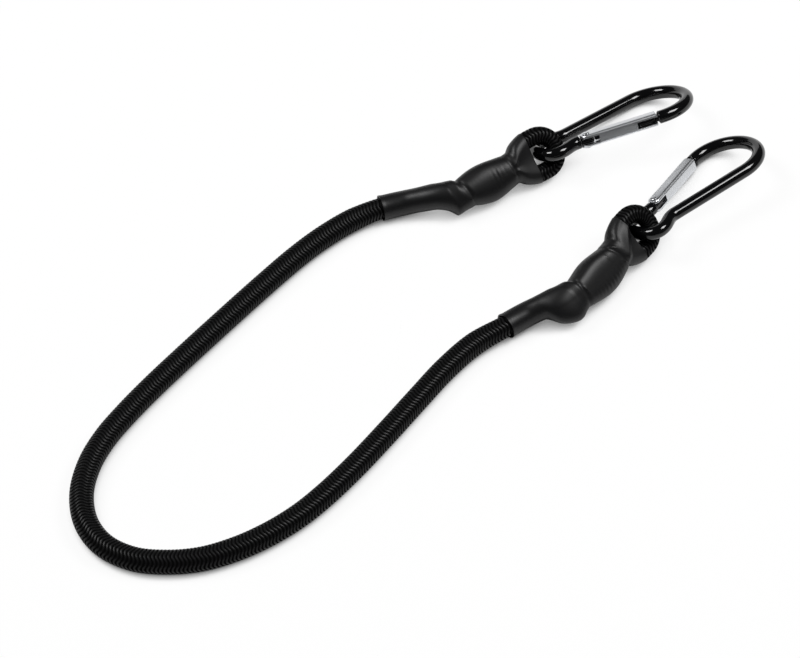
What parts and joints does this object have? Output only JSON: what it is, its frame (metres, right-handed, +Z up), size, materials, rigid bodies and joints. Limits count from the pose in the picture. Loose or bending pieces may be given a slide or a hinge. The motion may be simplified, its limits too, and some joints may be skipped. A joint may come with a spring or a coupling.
{
  "type": "bungee cord",
  "caption": "Braided elastic cord lying in a loose U, each end doubled back into an eye under a shrunk sleeve and holding a gourd-shaped spring-gate carabiner.",
  "frame": {"origin": "on the table surface under the middle of the part", "axes": "+X along both legs of the cord towards the carabiners, +Z up from the table"},
  "size_m": [0.2813, 0.0929, 0.0177],
  "materials": {
    "braid": "braided polyester yarn, soft sheen",
    "latex": "matte natural latex strands",
    "sleeve": "satin shrink tube",
    "wire": "drawn wire",
    "black_rod": "gloss black coat",
    "bright_metal": "bright plated",
    "pin_steel": "turned, blackened",
    "spring_steel": "drawn wire"
  },
  "bodies": {
    "cord": {"cord_jacket": "braid", "cord_core": "latex", "eye_a_jacket": "braid", "eye_a_core": "latex", "sleeve_a": "sleeve", "wire_clip_a1": "wire", "wire_clip_a2": "wire"},
    "end_b": {"eye_b_jacket": "braid", "eye_b_core": "latex", "sleeve_b": "sleeve", "wire_clip_b1": "wire", "wire_clip_b2": "wire"},
    "carabiner_a": {"carabiner_a_body": "black_rod", "carabiner_a_rivet": "bright_metal"},
    "gate_a": {"carabiner_a_gate": "bright_metal", "carabiner_a_spring": "spring_steel"},
    "plunger_a": {"carabiner_a_plunger": "pin_steel"},
    "carabiner_b": {"carabiner_b_body": "black_rod", "carabiner_b_rivet": "bright_metal"},
    "gate_b": {"carabiner_b_gate": "bright_metal", "carabiner_b_spring": "spring_steel"},
    "plunger_b": {"carabiner_b_plunger": "pin_steel"}
  },
  "joints": [
    {"name": "cord_stretch", "type": "slide", "parent": "cord", "child": "end_b", "axis": [0.9848, 0.1736, 0], "range_m": [0, 0.3], "stiffness_N_per_m": 500, "deforming": ["cord_jacket", "cord_core"]},
    {"name": "carabiner_a_swing", "type": "hinge", "parent": "cord", "child": "carabiner_a", "pos_m": [0.08413, 0.01712, 0.00922], "axis": [0.0826, 0.7152, 0.694], "range_deg": [-30, 15]},
    {"name": "gate_a_open", "type": "hinge", "parent": "carabiner_a", "child": "gate_a", "pos_m": [0.09522, 0.00962, 0.01187], "axis": [0.1117, 0.489, 0.8651], "range_deg": [0, 36], "stiffness_Nm_per_rad": 0.08, "springref_deg": -28.65},
    {"name": "plunger_a_slide", "type": "slide", "parent": "gate_a", "child": "plunger_a", "axis": [0.8997, -0.4195, 0.121], "range_m": [0, 0.0006], "deforming": ["carabiner_a_spring"]},
    {"name": "carabiner_b_swing", "type": "hinge", "parent": "end_b", "child": "carabiner_b", "pos_m": [0.08274, -0.03011, 0.00917], "axis": [-0.1548, 0.7032, 0.694], "range_deg": [-15, 30]},
    {"name": "gate_b_open", "type": "hinge", "parent": "carabiner_b", "child": "gate_b", "pos_m": [0.09591, -0.02399, 0.00593], "axis": [0.0205, -0.4492, -0.8932], "range_deg": [0, 36], "stiffness_Nm_per_rad": 0.08, "springref_deg": -28.65},
    {"name": "plunger_b_slide", "type": "slide", "parent": "gate_b", "child": "plunger_b", "axis": [0.9521, 0.2814, -0.1196], "range_m": [0, 0.0006], "deforming": ["carabiner_b_spring"]}
  ],
  "couplings": [
    {"joint": "plunger_a_slide", "follows": "gate_a_open", "m_per_rad": 0.0009},
    {"joint": "plunger_b_slide", "follows": "gate_b_open", "m_per_rad": 0.0009}
  ]
}
